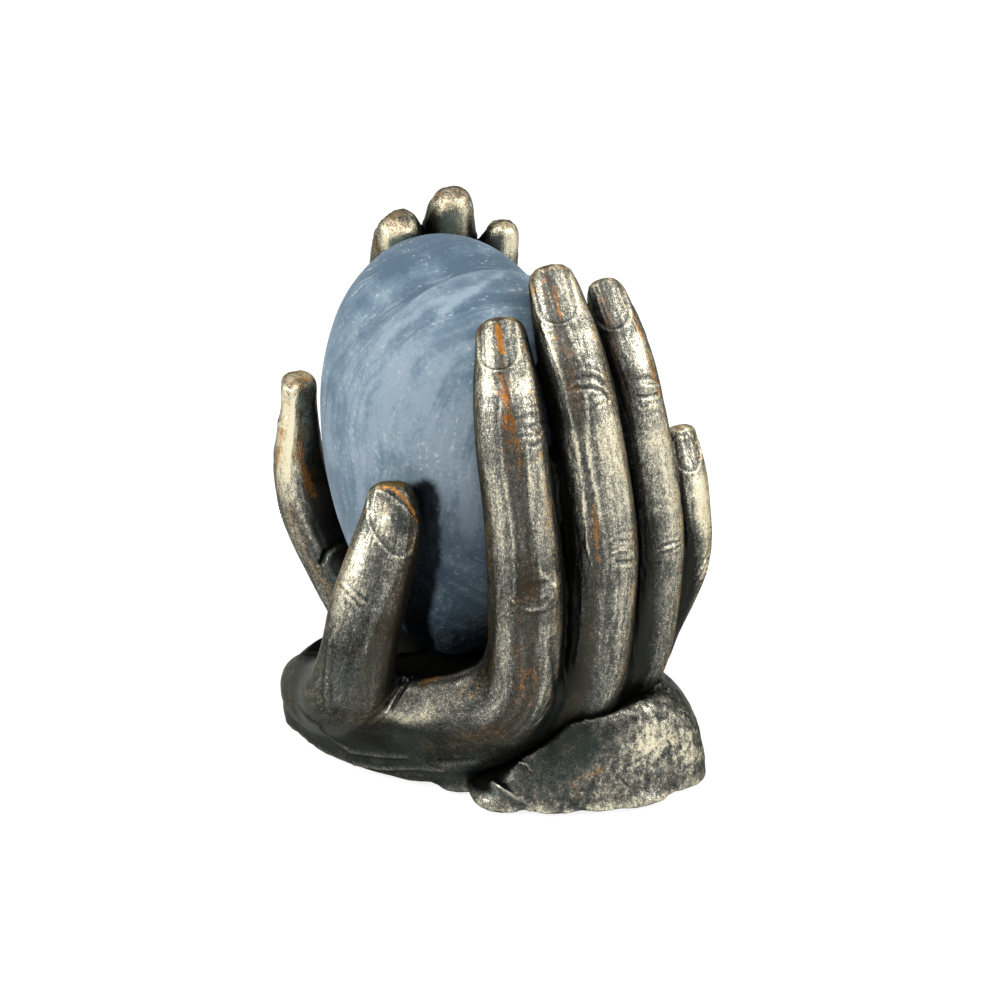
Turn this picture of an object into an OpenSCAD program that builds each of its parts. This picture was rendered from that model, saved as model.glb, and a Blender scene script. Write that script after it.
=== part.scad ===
// Two cupped hands, crossed at the wrists, that hold a painted heart upright
/* [Heart] */
// Width of the heart across both lobes
heart_w = 84; // [60:1:110]
// Thickness of the heart from front to back
heart_t = 73; // [50:1:90]
// Height of the heart's round body, without what the lobes add
heart_body_h = 115; // [90:1:135]
// How much higher the lobes stand than a plain oval
lobe_lift = 20; // [8:1:30]
// Depth of the soft cleft between the lobes
cleft_depth = 8; // [3:0.5:14]
// Height of the heart's point above the table
heart_z = 26; // [20:0.5:34]
// How far the heart stands behind the middle of the wrists
heart_back = 3.5; // [0:0.5:10]

/* [Digits] */
// Width of the thumbs at the knuckle
thumb_w = 19; // [14:0.5:24]
// Width of the index fingers at the middle joint
index_w = 19; // [14:0.5:24]
// Width of the middle fingers at the middle joint
middle_w = 19; // [14:0.5:24]
// Width of the ring fingers at the middle joint
ring_w = 15.5; // [12:0.5:21]
// Width of the little fingers at the middle joint
little_w = 13; // [10:0.5:17]

/* [Palms] */
// Thickness of a palm at the knuckles
palm_t = 21; // [16:0.5:28]
// Height of the right wrist stump above its widest level
right_stump_h = 18; // [14:0.5:24]
// Height of the left wrist stump above its widest level
left_stump_h = 28; // [20:0.5:34]

/* [Fitting] */
// Gap between the heart and the hands, and between the two hands
fit_gap = 0.3; // [0.2:0.05:0.6]
// Diameter of the steel pin that holds the heart
heart_pin_d = 5; // [3:0.5:8]
// Length of the heart pin
heart_pin_l = 30; // [20:1:40]
// Diameter of the steel pins that tie the two hands together
tie_pin_d = 4; // [3:0.5:6]
// Length of each tie pin
tie_pin_l = 14; // [8:1:18]
// Thickness of the felt pads
felt_t = 1; // [0.5:0.1:2]
// Diameter of the felt pads
felt_d = 16; // [10:1:24]

/* [Hidden] */

// Where the box of the whole piece has its middle, seen from the wrists' middle
frame_x = -1.02;
frame_y = 4.42;

// The space that the digits reach round, from the heart's own sizes
grip_x = heart_w / 2 + index_w / 2;
grip_y = heart_t / 2;
heart_top = heart_z + heart_body_h;

// Places along each digit as shares of the grip: in the palm, at the knuckle,
// at the middle joint, at the end joint and at the tip, thumb first
right_digit_shares = [
    [[-0.10, -1.04, 0.13], [0.43, -1.14, 0.25], [0.65, -1.10, 0.45],
     [0.64, -0.92, 0.59], [0.59, -0.88, 0.675]],
    [[0.10, -0.90, 0.11], [0.81, -0.18, 0.214], [0.99, -0.12, 0.463],
     [0.91, -0.19, 0.787], [0.63, -0.09, 0.956]],
    [[0.49, 0.12, 0.17], [0.84, 0.43, 0.226], [0.96, 0.47, 0.53],
     [0.88, 0.34, 0.841], [0.57, 0.34, 1.032]],
    [[0.42, 0.36, 0.15], [0.77, 0.86, 0.223], [0.86, 0.97, 0.501],
     [0.79, 0.81, 0.81], [0.54, 0.73, 0.973]],
    [[0.36, 0.62, 0.17], [0.63, 1.05, 0.236], [0.73, 1.29, 0.437],
     [0.69, 1.31, 0.583], [0.60, 1.30, 0.692]]];
left_digit_shares = [
    [[-0.16, -0.32, 0.13], [-0.50, -0.54, 0.235], [-0.70, -0.81, 0.40],
     [-0.76, -0.90, 0.525], [-0.64, -0.94, 0.72]],
    [[-0.45, -0.04, 0.185], [-0.85, 0.04, 0.236], [-1.03, 0.10, 0.57],
     [-0.90, 0.04, 0.86], [-0.61, -0.14, 1.007]],
    [[-0.45, 0.32, 0.185], [-0.84, 0.42, 0.226], [-0.98, 0.44, 0.573],
     [-0.87, 0.40, 0.849], [-0.57, 0.28, 1.056]],
    [[-0.42, 0.65, 0.185], [-0.76, 0.75, 0.228], [-0.86, 0.73, 0.554],
     [-0.79, 0.72, 0.797], [-0.54, 0.68, 0.985]],
    [[-0.38, 0.92, 0.185], [-0.65, 1.00, 0.25], [-0.70, 0.98, 0.468],
     [-0.65, 1.02, 0.622], [-0.51, 1.13, 0.756]]];
digit_widths = [thumb_w, index_w, middle_w, ring_w, little_w];
// Which way the back of each digit faces
right_back_shares = [[0.85, -0.5, 0.2], [1, -0.25, 0], [1, -0.15, 0], [1, 0, 0], [0.95, 0.3, 0]];
left_back_shares = [[-0.5, -0.85, 0], [-1, -0.15, 0], [-1, 0, 0], [-1, 0.1, 0], [-0.95, 0.3, 0]];
// Width and depth along a digit, from the palm to the tip, as shares of its width
finger_width_shares = [[0, 1.1], [1, 1.14], [1.5, 1.02], [2, 1.04], [2.5, 0.97], [3, 0.95], [3.3, 0.88],
                       [3.6, 0.74], [3.8, 0.62], [4, 0.52]];
finger_depth_shares = [[0, 1.0], [1, 1.06], [1.5, 0.96], [2, 1.0], [2.5, 0.86], [3, 0.86], [3.3, 0.78],
                       [3.6, 0.66], [3.8, 0.56], [4, 0.48]];
thumb_width_shares = [[0, 1.3], [1, 1.15], [1.5, 1.05], [2, 1.03], [2.5, 0.96], [3, 0.90], [3.4, 0.74],
                      [3.7, 0.58], [4, 0.44]];
thumb_depth_shares = [[0, 1.3], [1, 1.1], [1.5, 0.98], [2, 0.92], [2.5, 0.84], [3, 0.76], [3.4, 0.66],
                      [3.7, 0.54], [4, 0.44]];
// How high the back of a digit rises, lower where the nail lies flat in it
nail_level_shares = [[0, 1], [3.28, 1], [3.34, 0.84], [3.8, 0.8], [4, 1]];
// Places along both edges of a palm, from the wrist to the knuckles
right_thumb_edge_shares =
    [[-0.34, -1.25, 0.03], [0.06, -1.13, 0.05], [0.47, -0.76, 0.06],
     [0.74, -0.43, 0.115], [0.89, -0.32, 0.19]];
right_little_edge_shares =
    [[-0.69, -0.45, 0.035], [-0.31, 0.07, 0.09], [0.08, 0.51, 0.155],
     [0.45, 0.90, 0.215], [0.69, 1.27, 0.26]];
left_thumb_edge_shares =
    [[0.94, 0.02, 0.03], [0.66, -0.26, 0.05], [0.16, -0.26, 0.085],
     [-0.39, -0.26, 0.115], [-0.82, -0.18, 0.185]];
left_little_edge_shares =
    [[0.94, 1.38, 0.045], [0.66, 1.46, 0.055], [0.16, 1.40, 0.085],
     [-0.34, 1.30, 0.14], [-0.66, 1.26, 0.22]];
// Where each piece of web starts and ends along both its digits, how much of their thickness it has,
// and how far below their middle lines it lies
finger_web_steps = [[0.5, 0.85, 0.9, 0], [0.85, 1.2, 0.8, 0], [1.2, 1.9, 0.6, 0.2], [1.9, 2.6, 0.5, 0.2]];
thumb_web_steps = [[0.25, 0.6, 0.9, 0], [0.6, 0.95, 0.7, 0]];
// How much of the stump's height is left in each section of a palm
stump_fade_shares = [1, 0.8, 0.35, 0.1, 0];

// Number of rings and sides of the lofted forms, and the turns at which their round ends have rings
rings_a_digit = 19;
sides_a_digit = 14;
rings_a_palm = 12;
sides_a_palm = 26;
tip_turns = [20, 38, 54, 68, 80, 88];
palm_end_turns = [30, 60, 88];

// Place of a share of the grip, in the frame of the wrists
function grip_place(share) =
    [share[0] * grip_x, heart_back + share[1] * grip_y, share[2] * heart_top];
function unit(v) = v / norm(v);
// Point at t on the smooth curve that runs through all places of p
function curve_point(p, t) =
    let (i = min(floor(t), len(p) - 2), f = t - i,
         a = p[max(i - 1, 0)], b = p[i], c = p[i + 1], d = p[min(i + 2, len(p) - 1)])
    (2 * b + (c - a) * f + (2 * a - 5 * b + 4 * c - d) * f * f
     + (3 * b - a - 3 * c + d) * f * f * f) / 2;
function curve_way(p, t) =
    let (step = 0.02, lo = max(t - step, 0), hi = min(t + step, len(p) - 1))
    unit(curve_point(p, hi) - curve_point(p, lo));
// Sine and cosine that bulge into a squarer section
function bulge(v, power) = sign(v) * pow(abs(v), power);

// Closed skin over rings that all have the same number of points
module skin(rings) {
    n = len(rings[0]);
    last = len(rings) - 1;
    sides = [for (i = [0 : last - 1], k = [0 : n - 1])
             let (a = i * n + k, b = i * n + (k + 1) % n)
             each [[a, b, b + n], [a, b + n, a + n]]];
    polyhedron([for (ring = rings) each ring],
               concat(sides, [[for (k = [n - 1 : -1 : 0]) k]], [[for (k = [0 : n - 1]) last * n + k]]));
}

// One digit, grown on all sides by grow, lofted along its smooth middle line
module digit(shares, back, width, width_shares, depth_shares, grow) {
    path = [for (share = shares) grip_place(share)];
    tip_from = 3.72;
    tip_power = 0.9;
    squareness = 0.9;
    stops = [for (i = [0 : rings_a_digit]) [tip_from * i / rings_a_digit, 1],
             for (turn = tip_turns)
             [tip_from + (len(path) - 1 - tip_from) * sin(turn), pow(cos(turn), tip_power)]];
    skin([for (stop = stops)
          let (t = stop[0], way = curve_way(path, t), across = unit(cross(way, back)),
               up = cross(across, way), level = lookup(t, nail_level_shares),
               wide = (width / 2 * lookup(t, width_shares) + grow) * stop[1],
               deep = (width / 2 * lookup(t, depth_shares) + grow) * stop[1],
               middle = curve_point(path, t) + way * grow * t / (len(path) - 1))
          [for (k = [0 : sides_a_digit - 1])
           let (turn = 360 * k / sides_a_digit)
           middle + across * wide * bulge(cos(turn), squareness)
           + up * deep * min(bulge(sin(turn), squareness), level)]]);
}

// The palm and the wrist stump, lofted between the thumb edge and the little finger's edge
module palm(thumb_edge_shares, little_edge_shares, stump_h, grow) {
    thumb_edge = [for (share = thumb_edge_shares) grip_place(share)];
    little_edge = [for (share = little_edge_shares) grip_place(share)];
    last = len(thumb_edge) - 1;
    ends = len(palm_end_turns);
    end_length = palm_t / 3;
    depths = [for (i = [0 : last])
              [i, palm_t / 2 + (stump_h - palm_t / 2) * stump_fade_shares[i]]];
    skin([for (i = [-ends : rings_a_palm + ends])
          let (t = last * min(max(i, 0), rings_a_palm) / rings_a_palm,
               turn = i < 0 ? -palm_end_turns[-i - 1]
                      : i > rings_a_palm ? palm_end_turns[i - rings_a_palm - 1] : 0,
               a = curve_point(thumb_edge, t), b = curve_point(little_edge, t),
               way = unit(curve_way(thumb_edge, t) + curve_way(little_edge, t)),
               across = unit(b - a), up = cross(across, way),
               wide = (norm(b - a) / 2 + grow) * (1 + cos(turn)) / 2,
               deep = (lookup(t, depths) + grow) * cos(turn))
          [for (k = [0 : sides_a_palm - 1])
           let (side_turn = 360 * k / sides_a_palm)
           (a + b) / 2 + way * sin(turn) * end_length
           + across * wide * bulge(cos(side_turn), 0.75)
           + up * deep * bulge(sin(side_turn), 0.85)]]);
}

// Ball on a digit's middle line, or sunk from it towards the heart
module joint_ball(shares, back, t, width, fill, sink, grow) {
    path = [for (share = shares) grip_place(share)];
    translate(curve_point(path, t) - unit(back) * sink * width)
        sphere(width / 2 * fill + grow, $fn = sides_a_digit);
}

// The webs of skin between neighbouring digits, and the thin walls left low between the fingers
// so that the casting leaves its mould
module webs(shares, backs, grow) {
    for (i = [1 : 3], step = finger_web_steps) web(shares, backs, [i, i + 1], step, grow);
    for (step = thumb_web_steps) web(shares, backs, [0, 1], step, grow);
}
module web(shares, backs, pair, step, grow) {
    hull() {
        for (j = pair, t = [step[0], step[1]])
            joint_ball(shares[j], backs[j], t, digit_widths[j], step[2], step[3], grow);
    }
}

// A whole hand before it is cut, grown on all sides by grow
module hand_form(digits, backs, thumb_edge_shares, little_edge_shares, stump_h, grow = 0) {
    digit(digits[0], backs[0], thumb_w, thumb_width_shares, thumb_depth_shares, grow);
    for (i = [1 : 4])
        digit(digits[i], backs[i], digit_widths[i], finger_width_shares, finger_depth_shares, grow);
    palm(thumb_edge_shares, little_edge_shares, stump_h, grow);
    webs(digits, backs, grow);
}
module right_form(grow = 0) {
    hand_form(right_digit_shares, right_back_shares,
              right_thumb_edge_shares, right_little_edge_shares, right_stump_h, grow);
}
module left_form(grow = 0) {
    hand_form(left_digit_shares, left_back_shares,
              left_thumb_edge_shares, left_little_edge_shares, left_stump_h, grow);
}

// The heart: an egg, thicker above than below, whose sides are lifted into two lobes
// and whose top is drawn down into a soft cleft between them
module heart_form(grow = 0) {
    rings = 18;
    sides = 40;
    pole_tilt = 88;
    point_share = 0.15;
    cleft_share = 0.24;
    swell_share = 0.16;
    skin([for (i = [0 : rings])
          let (tilt = pole_tilt * (2 * i / rings - 1))
          [for (k = [0 : sides - 1])
           let (turn = -360 * k / sides, x = cos(tilt) * sin(turn), y = sin(tilt),
                z = cos(tilt) * cos(turn),
                lobe = sqrt(x * x + point_share * point_share) - point_share,
                cleft = exp(-pow(x / cleft_share, 2)) * pow(max(z, 0), 2))
           [x * (heart_w / 2 + grow),
            heart_back + y * (heart_t / 2 * (1 + swell_share * z) + grow),
            heart_z + heart_body_h / 2 + z * (heart_body_h / 2 + grow) + lobe * lobe_lift
            - cleft * cleft_depth]]]);
}

module below_table() {
    span = heart_w * 3;
    translate([-span / 2, -span / 2, -span]) cube([span, span, span + felt_t]);
}

// Steel pins, and the holes that take them, at places given by their lower ends
module pins(places, d, l, gap = 0) {
    for (place = places)
        translate([place[0], place[1], place[2] - gap])
            cylinder(d = d + 2 * gap, h = l + 2 * gap, $fn = 32);
}
// How much of the heart pin stands in the hand
pin_sunk_share = 0.4;
heart_pin_places = [[0, heart_back, heart_z - heart_pin_l * pin_sunk_share]];
tie_pin_shares = [[0.45, 0.10, 0.05], [0.62, 0.62, 0.05]];
tie_pin_places = [for (share = tie_pin_shares) grip_place(share)];

module felt_pads(shares) {
    for (share = shares)
        translate([share[0] * grip_x, heart_back + share[1] * grip_y, 0])
            cylinder(d = felt_d, h = felt_t, $fn = 64);
}
right_pad_shares = [[-0.47, -0.88], [0, -0.56]];
left_pad_shares = [[0.84, 0.30], [0.84, 1.14], [0.05, 0.75]];

module right_hand() {
    color("darkgoldenrod") translate([-frame_x, -frame_y, 0])
    difference() {
        right_form();
        heart_form(fit_gap);
        pins(heart_pin_places, heart_pin_d, heart_pin_l, fit_gap);
        pins(tie_pin_places, tie_pin_d, tie_pin_l, fit_gap);
        below_table();
    }
}
module left_hand() {
    color("goldenrod") translate([-frame_x, -frame_y, 0])
    difference() {
        left_form();
        heart_form(fit_gap);
        right_form(fit_gap);
        pins(tie_pin_places, tie_pin_d, tie_pin_l, fit_gap);
        below_table();
    }
}
module heart() {
    color("lightsteelblue") translate([-frame_x, -frame_y, 0])
    difference() {
        heart_form();
        pins(heart_pin_places, heart_pin_d, heart_pin_l, fit_gap);
    }
}
module heart_pin() {
    color("silver") translate([-frame_x, -frame_y, 0]) pins(heart_pin_places, heart_pin_d, heart_pin_l);
}
module tie_pins() {
    color("silver") translate([-frame_x, -frame_y, 0]) pins(tie_pin_places, tie_pin_d, tie_pin_l);
}
module felt_pads_right() {
    color("dimgray") translate([-frame_x, -frame_y, 0]) felt_pads(right_pad_shares);
}
module felt_pads_left() {
    color("dimgray") translate([-frame_x, -frame_y, 0]) felt_pads(left_pad_shares);
}

right_hand();
left_hand();
heart();
heart_pin();
tie_pins();
felt_pads_right();
felt_pads_left();
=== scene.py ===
import math
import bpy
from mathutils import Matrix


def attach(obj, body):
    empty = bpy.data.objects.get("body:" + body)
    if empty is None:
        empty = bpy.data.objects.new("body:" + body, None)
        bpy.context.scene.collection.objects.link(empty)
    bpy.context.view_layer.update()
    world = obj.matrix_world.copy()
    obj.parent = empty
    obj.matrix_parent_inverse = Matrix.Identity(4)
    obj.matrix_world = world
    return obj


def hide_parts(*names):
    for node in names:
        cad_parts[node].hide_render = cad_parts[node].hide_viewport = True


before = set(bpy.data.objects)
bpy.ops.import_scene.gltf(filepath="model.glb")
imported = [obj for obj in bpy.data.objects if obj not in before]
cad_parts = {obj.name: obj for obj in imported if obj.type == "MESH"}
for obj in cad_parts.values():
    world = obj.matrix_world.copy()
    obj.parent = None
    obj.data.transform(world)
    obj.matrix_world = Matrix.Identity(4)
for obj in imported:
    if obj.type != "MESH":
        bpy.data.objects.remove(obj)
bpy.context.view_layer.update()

from types import SimpleNamespace
import bpy
import numpy as np
from mathutils import Vector, noise


# The right hand, which is the near one: a solid casting of mineral-filled resin with a bronze finish.
# It is worked as a sculptor works it: the raw form is remeshed, its joins are smoothed, and then nails,
# The patina is dry-brushed over the carving, and highlights and shade are painted into it.
MM = 0.001
# The heart's half sizes, the height of its point and how far back it stands, as the part's source has them
HEART_HALF = np.array([42.0, 36.5, 57.5])
HEART_POINT, HEART_BACK = 26.0, 3.5
# The digits' widths from the thumb on, and the shares of them along each, from the palm, 0, to the tip, 4
DIGIT_WIDTHS = [19, 19, 19, 15.5, 13]
FINGER_WIDTHS = [
    (0, 1.1), (1, 1.14), (1.5, 1.02), (2, 1.04), (2.5, 0.97), (3, 0.95), (3.3, 0.88), (3.6, 0.74),
    (3.8, 0.62), (4, 0.52)]
FINGER_DEPTHS = [
    (0, 1), (1, 1.06), (1.5, 0.96), (2, 1), (2.5, 0.86), (3, 0.86), (3.3, 0.78), (3.6, 0.66), (3.8, 0.56),
    (4, 0.48)]
THUMB_WIDTHS = [
    (0, 1.3), (1, 1.15), (1.5, 1.05), (2, 1.03), (2.5, 0.96), (3, 0.9), (3.4, 0.74), (3.7, 0.58),
    (4, 0.44)]
THUMB_DEPTHS = [
    (0, 1.3), (1, 1.1), (1.5, 0.98), (2, 0.92), (2.5, 0.84), (3, 0.76), (3.4, 0.66), (3.7, 0.54),
    (4, 0.44)]
# The space that the digits reach round, and how far the source's own zero lies from the frame's
GRIP = np.array([HEART_HALF[0] + DIGIT_WIDTHS[1] / 2, HEART_HALF[1], HEART_POINT + 2 * HEART_HALF[2]])
NODE_SHIFT = np.array([-1.02, 4.42, 0.0])
HEART_MIDDLE = np.array([0.0, HEART_BACK, HEART_POINT + HEART_HALF[2]]) - NODE_SHIFT
# The middle of the cupped palms, round which shade is painted
CUP_MIDDLE = np.array([1.0, -1.0, 75.0])
CLAY_GRAIN = 0.85 * MM
MERGE_DISTANCE = 0.01 * MM
# The push back after each round of smoothing that keeps the volume
PUSH_BACK = 1.03
# mm between the digits' patterns, so that no two are alike
DIGIT_APART = 60

right = SimpleNamespace(seed=1)
# Each digit's middle line as shares of the grip: palm, knuckle, middle joint, end joint and tip
right.shares = [
    [[-0.10, -1.04, 0.13], [0.43, -1.14, 0.25], [0.65, -1.10, 0.45],
     [0.64, -0.92, 0.59], [0.59, -0.88, 0.675]],
    [[0.10, -0.90, 0.11], [0.81, -0.18, 0.214], [0.99, -0.12, 0.463],
     [0.91, -0.19, 0.787], [0.63, -0.09, 0.956]],
    [[0.49, 0.12, 0.17], [0.84, 0.43, 0.226], [0.96, 0.47, 0.53],
     [0.88, 0.34, 0.841], [0.57, 0.34, 1.032]],
    [[0.42, 0.36, 0.15], [0.77, 0.86, 0.223], [0.86, 0.97, 0.501],
     [0.79, 0.81, 0.81], [0.54, 0.73, 0.973]],
    [[0.36, 0.62, 0.17], [0.63, 1.05, 0.236], [0.73, 1.29, 0.437],
     [0.69, 1.31, 0.583], [0.60, 1.30, 0.692]]]
# Where the back of each digit looks
right.backs = [
    [0.72, -0.62, 0.2], [0.85, -0.5, 0.1], [0.9, -0.42, 0.1], [0.93, -0.36, 0.1], [0.93, -0.3, 0]]
# Each nail's width, length, distance from the tip, shift across and slant
right.nails = [
    (11.5, 12, 3.5, 1.3, 0.75), (9, 12.5, 2, -0.4, 0), (9.4, 14.5, 1.6, 0, 0), (8.4, 12, 1.2, 0, 0),
    (6.4, 8.5, 3.2, 0.8, 0)]
# Each wrinkled joint's place along its digit, turn from the nail in degrees and share of the full depth
right.joints = [
    [], [(2.14, 28, 0.3), (3.03, 48, 0.3)], [(2.06, 38, 0.25), (3.0, 20, 0.25)],
    [(2.05, 34, 0.2), (2.93, 30, 0.3)], [(1.96, 48, 0.4), (2.4, 55, 0.25)]]
# How square each digit's end is
right.square = [0.2, 0.45, 0.35, 0.35, 0.6]
# Marks drawn on the digits: digit, points as mm from the tip and degrees from the nail, width and depth.
# A ridge has a depth below 0.
right.marks = [
    (1, [(18.4, 2), (27.5, -8), (34.3, -10), (41, -9), (50, -7), (60, -10), (70, -13)], 0.45, -0.4),
    (1, [(15.9, -4), (18.2, 7), (21.7, 11), (27.6, 3)], 0.4, 0.35),
    (1, [(16.7, -11), (19.7, -8), (23.4, -10)], 0.3, 0.3),
    (1, [(27.8, 32), (27.8, 47), (29, 65)], 0.35, 0.25),
    (1, [(26.6, 35), (26.4, 53), (27.5, 70)], 0.35, -0.15),
    (1, [(25.3, 29), (24.8, 46), (25.7, 67)], 0.35, 0.25),
    (1, [(66, 8), (65.8, 27), (66.3, 50)], 1.4, 0.8),
    (1, [(68.4, -19), (70.4, -8), (71.8, 13), (71.3, 33), (69.6, 51)], 0.5, -0.4),
    (1, [(67.5, -9), (69, 3), (70, 20), (69.5, 40)], 0.35, 0.35),
    (1, [(72.6, -15), (72.9, 13), (72.9, 37)], 0.3, 0.35),
    (1, [(62.4, 31), (64.6, 45), (67.1, 58)], 0.5, -0.35),
    (1, [(36, 34), (48, 28), (59, 25)], 0.6, -0.2),
    (1, [(76, 30), (82, 26), (90, 22)], 0.5, -0.2),
    (2, [(15.7, -41), (20.8, -30), (25.5, -24), (29.7, -20), (39.9, -19), (52.4, -19), (60.2, -22),
         (69.7, -21), (75.3, -14)], 0.45, -0.4),
    (2, [(32.5, 12), (38.1, 8), (43.9, 0), (50.2, -2), (60.6, 4), (65.9, 6)], 0.45, -0.35),
    (2, [(31, -18), (30.6, -2), (31.2, 22), (32.3, 46), (34.7, 59)], 0.4, 0.55),
    (2, [(29.6, 0), (30.2, 20), (31.2, 42), (33, 58)], 0.3, -0.25),
    (2, [(28.6, 16), (29.4, 39), (31.2, 58)], 0.35, 0.4),
    (2, [(27.4, 14), (28.2, 38), (30, 60)], 0.4, -0.25),
    (2, [(72.4, 18), (71.9, 32), (73.2, 52), (75.2, 60)], 0.35, -0.35),
    (2, [(74.8, 26), (75.2, 40), (76.5, 59)], 0.4, 0.5),
    (2, [(76.2, 24), (76.6, 40), (77.8, 58)], 0.35, -0.3),
    (2, [(70, 13), (69, 25), (70.3, 44)], 0.35, 0.35),
    (2, [(82.7, -28), (88.6, -28), (97.6, -28), (105, -30)], 0.4, -0.35),
    (2, [(80, 26), (91.3, 23), (97, 15)], 0.5, -0.3),
    (2, [(14, 10), (20, 14), (27, 18)], 0.4, -0.25),
    (3, [(28.3, 6), (29.2, 29), (29.5, 63)], 0.4, 0.55),
    (3, [(26.4, 8), (26.9, 39), (27.9, 69)], 0.4, -0.35),
    (3, [(25, 12), (25.2, 40), (26.2, 66)], 0.35, 0.35),
    (3, [(30.1, -3), (31.7, 8), (31.4, 29)], 0.4, -0.35),
    (3, [(69.7, 5), (69.8, 28), (69.3, 56)], 0.35, 0.4),
    (3, [(67.7, 5), (67.4, 28), (68, 57)], 0.35, 0.35),
    (3, [(68.7, 0), (68.6, 28), (68.6, 57)], 0.3, -0.25),
    (3, [(19, -14), (28, -10), (38, -12), (49, -14), (60, -14), (68, -8)], 0.45, -0.3),
    (4, [(12.5, -16), (18.9, -8), (26.9, -1), (33.3, 13)], 0.5, -0.35),
    (0, [(28.2, -49), (28.9, -16), (30, 6)], 0.35, 0.35),
    (0, [(26.7, -43), (27.5, -12), (28.3, 9)], 0.35, 0.3),
    (0, [(29.7, -47), (30.5, -23), (31, -5)], 0.35, 0.3),
    (0, [(27.4, -48), (28.2, -14), (29.1, 8)], 0.3, -0.2),
    (0, [(20, 44), (27.4, 40), (31.9, 33), (40.4, 27)], 0.8, -0.3)]
# The stripe of painted shade on each digit, where its rust also lies: place along it, and its sides in
# degrees from the nail
right.stripes = [
    [(1, 22, 100), (2, 32, 110), (2.6, 46, 110), (3.1, 60, 110), (4, 60, 110)],
    [(1.5, -15, 36), (2.1, -12, 34), (2.5, -8, 26), (2.8, -10, 28), (3, -7, 22), (3.2, -6, 15),
     (3.6, -8, 12), (4, -8, 12)],
    [(1.5, -28, 0), (2.1, -17, 6), (2.3, -20, 2), (2.5, -19, -3), (2.75, -19, 2), (2.95, -20, 10),
     (3.2, -20, 6), (3.6, -26, 4), (4, -20, 4)],
    [(1.5, -30, -5), (2, -26, -6), (2.5, -26, -8), (2.9, -26, -6), (3.2, -35, -12), (3.6, -40, 0),
     (4, -30, 0)],
    [(1.5, -40, -5), (2.2, -30, 8), (2.8, -30, -8), (3.2, -34, -14), (4, -30, -10)]]
# How much rust shows in each digit's stripe, and how warm its tip is
right.rusty = [0, 0.9, 0.3, 0.35, 0.3]
right.warm = [0.7, 0.8, 0.5, 0.3, 0.4]
# Folds of skin off the digits' backs: points in mm, width and depth; a ridge has a depth below 0
right.folds = [
    ([(45, 46.5, 56.5), (44.9, 49, 59), (44.2, 51.3, 62.2)], 0.5, 0.45),
    ([(45, 45.8, 59.5), (44.9, 48.5, 62), (44, 51, 65)], 0.45, 0.35),
    ([(31.2, -30.5, 38), (33.1, -33.8, 36.2), (33, -36.3, 33.8), (32, -38.2, 30.7), (29.4, -39.9, 26.8)],
     0.75, 1.3),
    ([(30.7, -28.1, 37.9), (33.2, -31.9, 36.4), (33.6, -33.7, 34), (33.4, -34.6, 31.7)], 0.5, 0.7),
    ([(31.2, -29.4, 38.1), (33.4, -33.1, 36.5), (33.8, -35.2, 33.9), (32.8, -36.3, 30.7)], 0.5, -0.6),
    ([(55.7, -0.5, 36.3), (55, -1.9, 33), (54.5, -3.6, 31.1)], 0.4, 0.5),
    ([(6.4, -51.1, 21.7), (17.2, -49.8, 21.8), (8.7, -42.2, 10.2), (11.2, -38.9, 7.7),
      (19.9, -33.5, 9.5), (26.6, -28.9, 11.4)], 0.8, -0.5),
    ([(34, -51.4, 55.6), (32.9, -51.8, 47.9), (30.8, -51.8, 39.6), (28.5, -50.7, 32.4)], 0.9, -0.35),
    ([(10, -37, 3.5), (17.7, -32.7, 4.7), (24.6, -29.6, 6.5), (30, -26, 7.6), (34, -21.9, 8.2)],
     0.7, -0.7),
    ([(34.1, -21.9, 11.9), (37.1, -18.8, 13.7), (40.1, -15.7, 15.2)], 0.8, 1.2),
    ([(60.3, -1.5, 57.5), (59.2, -0.7, 51.1), (57.2, 0.9, 44), (54.8, 2.7, 38)], 1.2, 0.5)]
# Spots brushed brighter or left darker, among them painted highlights and painted shade: place in mm, size
# and amount
right.brushed = [
    ((34, -49, 72), 10, 0.42), ((38, -38, 86), 7, 0.45), ((37, -28, 33), 8, 0.4),
    ((46, -17, 38), 12, 0.3), ((41, -40, 52), 14, -0.45), ((43, -34, 72), 8, -0.4),
    ((6, -46, 18), 20, 0.05), ((40, -20, 18), 22, -0.25), ((45, -10, 30), 10, -0.2),
    ((42, -8, 131), 5, 0.1), ((41, -13, 128), 5, 0.45), ((39, 14, 140), 5, 0.4), ((34, 27, 134), 4, 0.3),
    ((57, 16, 100), 14, 0.25), ((58, 19, 78), 10, 0.25), ((49, 33, 105), 16, 0.3),
    ((51, 36, 75), 11, 0.3), ((40, 51, 80), 11, 0.55), ((42, 50, 66), 9, 0.35), ((-14, -44, 24), 9, 0.3),
    ((33, -36.7, 30.9), 3, 0.85), ((32.5, -33.7, 28.1), 3.5, 1.0), ((33.9, -30.1, 26.8), 3.5, 0.9),
    ((37.1, -27.1, 28.4), 3, 0.6), ((41, -20, 35), 7, 0.35), ((43, 50, 74), 4, 0.6),
    ((41, -35, 90), 6, -0.4), ((43, -38, 60), 9, -0.25), ((36.5, -33, 95.7), 2.2, -0.8),
    ((40.2, -33.6, 86.8), 2.4, -0.7), ((36, -41, 86.5), 2.2, -0.5), ((36.1, -36.8, 91.2), 2, 0.7),
    ((37.7, -37.2, 88.5), 1.8, 0.8), ((39.2, -37.6, 85.8), 1.8, 0.7), ((60, -8.5, 73.8), 2.8, -0.5),
    ((60.3, -7.5, 68.4), 1.8, 0.8), ((60.6, -1.5, 73.5), 1.8, 0.8), ((44.6, 50.5, 60), 3, 0.6),
    ((45, 46, 82), 13, 0.2)]
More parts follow.
